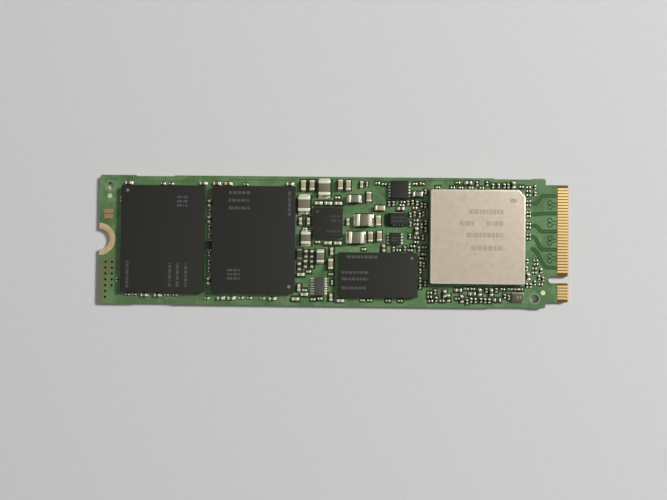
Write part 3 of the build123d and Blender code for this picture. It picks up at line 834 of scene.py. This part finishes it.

# %% [markdown]
# ## Bare places and hole rims
# A few places for parts stay empty, and there dull copper shows. Round the two tooling holes the mask is
# pulled back, so a pale ring of laminate is left. The twelve via holes beside the screw notch have plated
# barrels with a narrow rim, both dark: painted shade that makes the holes look deep. The tooling rims are
# ribbons along a circle, the barrels a profile carried round it, and the lands rounded blocks only a few
# micrometres high. The CAD nodes of the dots, the test pads, the die and the paste keep their form and only
# get their finish.

# %% Hole rims and via barrels
hole_rim = grained("hole rim laminate", (0.15, 0.225, 0.095), (0.225, 0.29, 0.14), 0.45, 0.0, 3000, 3)
tooling_holes = np.array([(-38.2, 9.1), (34.2, -9.35)]) * MM
HOLE_RIM_RADIUS, HOLE_RIM_WIDTH, RIM_SIDES, BARREL_SIDES = 0.84 * MM, 0.28 * MM, 48, 16
barrel_profile = np.array([  # radius and height in mm: under the rim, down the wall, up the bore, over it
    (0.22, 0.79), (0.19, 0.79), (0.19, 0.0), (0.165, 0.0), (0.165, 0.8015), (0.22, 0.8015)]) * MM
via_columns = ((1.15, 7), (2.25, 5))  # distance from the notch end in mm, and number of holes
VIA_START, VIA_PITCH = -3.9, 1.0  # Y of the first hole and way to the next in mm

circles = tooling_holes[:, None] + unit_circle(RIM_SIDES) * HOLE_RIM_RADIUS
add_piece("tooling_hole_rims", *ribbons(circles, HOLE_RIM_WIDTH, True), hole_rim, "green_mask")
barrel = carried_round(barrel_profile, np.linspace(0, 2 * math.pi, BARREL_SIDES + 1))
via_holes = [(x, VIA_START - i * VIA_PITCH, 0.0) for x, count in via_columns for i in range(count)]
barrels = barrel + (np.array(via_holes) * MM + (NOTCH_END, 0.0, 0.0))[:, None, None]
# The dark finish in the bores and on the rims is painted shade, so the holes look deep.
add_piece("via_hole_barrels", barrels, grid_faces(*barrels.shape[:3]), dark_mask_and_painted_shade, "green_mask")

# %% Empty lands, dots and pads
land_centres = np.array([(-23.25, -9.95), (-22.4, -9.95), (-13.2, -9.85), (-9.1, -9.95), (-8.0, -9.95),
                         (9.3, -1.4), (18.05, -8.6)]) * MM
LAND_HALF, LAND_RISE, LAND_CORNER, LAND_EDGE = 0.22 * MM, 0.008 * MM, 0.05 * MM, 0.004 * MM
low = raised(land_centres - LAND_HALF, TOP - SUNK)
high = raised(land_centres + LAND_HALF, TOP + LAND_RISE)
points, faces = rounded_blocks(low, high, LAND_CORNER, LAND_EDGE, edge_steps=2)
add_piece("empty_lands", points, faces, dull_copper, "copper")
dress("alignment_dots", dot_tin)
dress("test_pads", bare_copper)
dress("controller_die", die_silicon)
dress("controller_thermal_paste", thermal_paste)

# %% [markdown]
# ## Laser marks
# The packages carry faint laser marks. Here they are plain bars in rows, the way type is blocked in on a
# layout, fainter on the small chips, with a brighter dot at the corner of the first ball. Bars are very
# thin rounded blocks; their lengths come from a seeded random draw, so the rows look uneven and yet come out
# the same each time.

# %% Helper for rows of bars
mark_grey = grained("laser mark grey", (0.050, 0.049, 0.044), (0.080, 0.078, 0.071), 0.60, 0.0, 14000, 3)
mark_faint = grained("faint laser mark", (0.032, 0.031, 0.027), (0.052, 0.050, 0.044), 0.60, 0.0, 14000, 3)
mark_dot = grained("first ball dot", (0.050, 0.049, 0.044), (0.205, 0.205, 0.188), 0.60, 0.0, 14000, 3, 0.95)
mark_lid = grained("laser mark on nickel", (0.34, 0.295, 0.23), (0.45, 0.395, 0.315), 0.60, 0.2, 9000, 3)
SHORTEST_STEP, LONGEST_STEP, BAR_GAP, LEAST_END = 0.30, 0.95, 0.16, 0.25  # mm
MOST_BARS = 24
print("materials so far:", len(bpy.data.materials))


def mark_bars(node, rows, seed):
    """Corners of bars in rows of (x0, x1, y0, y1), in mm from the package's lower left corner.

    Their ends are the running sum of random steps up to the row's length, and each starts a gap further on.
    """
    low, high = np.array(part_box(node))
    draw = np.random.default_rng(seed)
    lows, highs = [], []
    for x0, x1, y0, y1 in rows:
        axis = int(y1 - y0 > x1 - x0)
        length = (x1 - x0, y1 - y0)[axis]
        ends = np.cumsum(draw.uniform(SHORTEST_STEP, LONGEST_STEP, MOST_BARS))
        ends = np.append(ends[ends < length - LEAST_END], length)
        bar_low = np.tile((x0, y0), (len(ends), 1))
        bar_high = np.tile((x1, y1), (len(ends), 1))
        bar_high[:, axis] = bar_low[:, axis] + ends
        bar_low[1:, axis] += ends[:-1] + BAR_GAP
        lows.append(bar_low)
        highs.append(bar_high)
    lows, highs = (np.concatenate(corners) * MM + low[:2] for corners in (lows, highs))
    return raised(lows, high[2] - SUNK), raised(highs, high[2] + PROUD)


# %% Rows of marks
marks = {
    "left_memory_mould": [
        (8.1, 8.6, 0.9, 4.9), (9.4, 9.9, 0.9, 4.9), (10.8, 11.3, 0.9, 4.9), (0.9, 1.4, 0.7, 5.2),
        (9.4, 11.2, 15.8, 16.2), (9.4, 11.2, 15.1, 15.5), (9.4, 11.2, 14.4, 14.8)],
    "right_memory_mould": [
        (2.8, 6.4, 16.6, 17.1), (2.8, 6.2, 15.3, 15.8), (2.8, 6.4, 14.0, 14.5), (12.8, 13.3, 13.0, 17.1),
        (2.7, 4.8, 3.6, 4.0), (2.7, 4.8, 2.9, 3.3), (2.7, 4.8, 2.2, 2.6)],
    "buffer_memory_mould": [
        (1.35, 6.5, 6.5, 7.0), (0.55, 5.0, 3.9, 4.35), (0.55, 5.0, 2.8, 3.25), (0.55, 4.6, 1.3, 1.75)],
    "controller_lid": [
        (6.4, 12.1, 11.7, 12.5), (4.9, 7.2, 9.75, 10.55), (9.3, 12.1, 9.75, 10.55), (6.0, 12.1, 7.8, 8.6),
        (6.8, 12.1, 5.65, 6.45)],
    "power_manager_body": [(2.9, 4.6, 3.35, 3.65), (3.0, 4.6, 2.6, 2.9), (2.3, 4.6, 0.8, 1.1)],
    "middle_regulator_body": [(0.45, 2.5, 1.05, 1.35), (0.45, 2.3, 0.45, 0.75)],
    "lower_regulator_body": [(0.45, 1.65, 1.0, 1.25), (0.45, 1.5, 0.55, 0.8)],
    "crystal_lid": [(0.72, 0.92, 0.50, 0.95), (1.22, 1.38, 0.50, 0.95)]}
mark_finishes = {"mould": (mark_grey, "mould"), "body": (mark_faint, "mould"), "lid": (mark_lid, "nickel")}
FIRST_SEED, BAR_CORNER, BAR_EDGE = 60, 0.06 * MM, 0.002 * MM
for seed, (node, rows) in enumerate(marks.items(), FIRST_SEED):
    package, kind = node.rsplit("_", 1)
    points, faces = rounded_blocks(*mark_bars(node, rows, seed), BAR_CORNER, BAR_EDGE, edge_steps=1)
    add_piece(package + "_marks", points, faces, *mark_finishes[kind])

# %% Dots
dots = (  # package, X and Y of the middle from its lower left corner, radius in mm, shade
    ("left_memory_mould", 1.05, 17.1, 0.28, 0.75), ("right_memory_mould", 13.1, 1.1, 0.28, 1.0),
    ("buffer_memory_mould", 12.3, 6.6, 0.25, 0.6), ("power_manager_body", 0.7, 4.25, 0.22, 0.05))
LID_DOT_PLACE, LID_DOT_RADII = np.array([(13.75, 14.0), (0.62, 0.36)]) * MM
DOT_SIDES = 48

boxes = np.array([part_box(node) for node, *_ in dots])
x, y, radius, shade = np.array([numbers for _, *numbers in dots]).T
centre = boxes[:, 0, :2] + np.stack([x, y], -1) * MM
outline = unit_circle(DOT_SIDES) * radius[:, None, None, None] * MM
points, faces = discs(centre, outline, boxes[:, 1, 2] - SUNK, boxes[:, 1, 2] + PROUD)
add_piece("first_ball_dots", points, faces, mark_dot, "mould", shade=shade[:, None, None])
low, high = np.array(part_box("controller_lid"))
outline = unit_circle(DOT_SIDES) * LID_DOT_RADII
points, faces = discs((low[:2] + LID_DOT_PLACE)[None], outline, high[2] - SUNK, high[2] + PROUD)
add_piece("lid_corner_dot", points, faces, mark_lid, "nickel")

# %% [markdown]
# ## Floor, light and camera
# The drive lies on a plain pale floor, which fades into the colour of the sky far from the drive, so that
# low views show no hard horizon. A large soft lamp overhead fills the scene, and a smaller one at the upper
# right draws the highlights and the short shadows to the lower left. The camera hangs 85 mm above the
# board, close and wide, so that the tall packages lean outwards a little, and its place was solved from the
# board's own corners.

# %% Floor paint
SKY_COLOUR, SKY_SEEN = (0.94, 0.96, 1.0), 0.70
FADE_START, FADE_END = 0.18, 0.60

floor_paint = grained("floor paint", (0.66, 0.66, 0.65), (0.70, 0.70, 0.69), 1.0, 0.0, 900, 2, specular=0.0)
tree = floor_paint.node_tree
principled = tree.nodes["Principled BSDF"]
set_inputs(principled, {"Emission Color": (*SKY_COLOUR, 1)})
distance = tree.nodes.new("ShaderNodeVectorMath")
distance.operation = "LENGTH"
link(tree.nodes.new("ShaderNodeTexCoord").outputs["Object"], distance.inputs[0])
far = step_node(distance.outputs["Value"], FADE_START, FADE_END)
ray = tree.nodes.new("ShaderNodeLightPath")
watched = math_node("MAXIMUM", ray.outputs["Is Camera Ray"], ray.outputs["Is Glossy Ray"])
glow = math_node("MULTIPLY", far, watched)
link(math_node("MULTIPLY", glow, SKY_SEEN), principled.inputs["Emission Strength"])
paint = principled.inputs["Base Color"].links[0].from_socket
link(colour_node(glow, paint, (0.0, 0.0, 0.0)), principled.inputs["Base Color"])
print("floor fades from", FADE_START, "to", FADE_END, "m")

# %% Floor
FLOOR_HALF, FLOOR_DROP = 2.0, 0.02 * MM
span = np.linspace(-FLOOR_HALF, FLOOR_HALF, 3)
points = raised(np.stack(np.meshgrid(span, span), -1), -FLOOR_DROP)
mesh = bpy.data.meshes.new("floor")
mesh.from_pydata(points.reshape(-1, 3).tolist(), [], grid_faces(1, len(span), len(span), closed=False))
mesh.materials.append(floor_paint)
floor = new_object("floor", mesh)
print("floor", 2 * FLOOR_HALF, "m wide")

# %% Lamps
def soft_lamp(name, place, size, power):
    """Square area lamp that faces the middle of the board: its -Z points back along its own place."""
    lamp = bpy.data.lights.new(name, "AREA")
    lamp.shape = "SQUARE"
    lamp.size = size
    lamp.energy = power
    holder = new_object(name, lamp)
    holder.location = place
    holder.rotation_euler = (-holder.location).to_track_quat("-Z", "Y").to_euler()
    print(f"{name}: {size} m, {power} W")


soft_lamp("overhead_lamp", place=(0.0, 0.02, 0.52), size=0.80, power=0.62)
soft_lamp("key_lamp", place=(0.637, 0.311, 0.554), size=0.16, power=8.4)

# %% Sky
SKY_LIGHT, SKY_MIRRORED = 0.10, 0.34
world = bpy.data.worlds.new("studio")
bpy.context.scene.world = world
world.use_nodes = True
sky = world.node_tree
background = sky.nodes["Background"]
set_inputs(background, {"Color": (*SKY_COLOUR, 1)})
ray = sky.nodes.new("ShaderNodeLightPath")
mirrored = math_node("MULTIPLY", ray.outputs["Is Glossy Ray"], SKY_MIRRORED - SKY_LIGHT)
seen = math_node("MULTIPLY", ray.outputs["Is Camera Ray"], SKY_SEEN - SKY_LIGHT)
strength = math_node("ADD", math_node("ADD", mirrored, seen), SKY_LIGHT)
link(strength, background.inputs["Strength"])
print("sky lights with", SKY_LIGHT, "and is seen as", SKY_SEEN)

# %% Camera
lens = bpy.data.cameras.new("camera")
lens.sensor_fit = "HORIZONTAL"
lens.sensor_width = 36.0
lens.lens = 26.987
lens.clip_start = 0.005
camera = new_object("camera", lens)
camera.location = (0.00089, -0.00280, 0.08585)
camera.rotation_euler = np.radians((0.898, 0.548, 0.631))
bpy.context.scene.camera = camera
bpy.context.scene.view_settings.view_transform = "Standard"
print("camera at", [round(v / MM, 2) for v in camera.location], "mm")
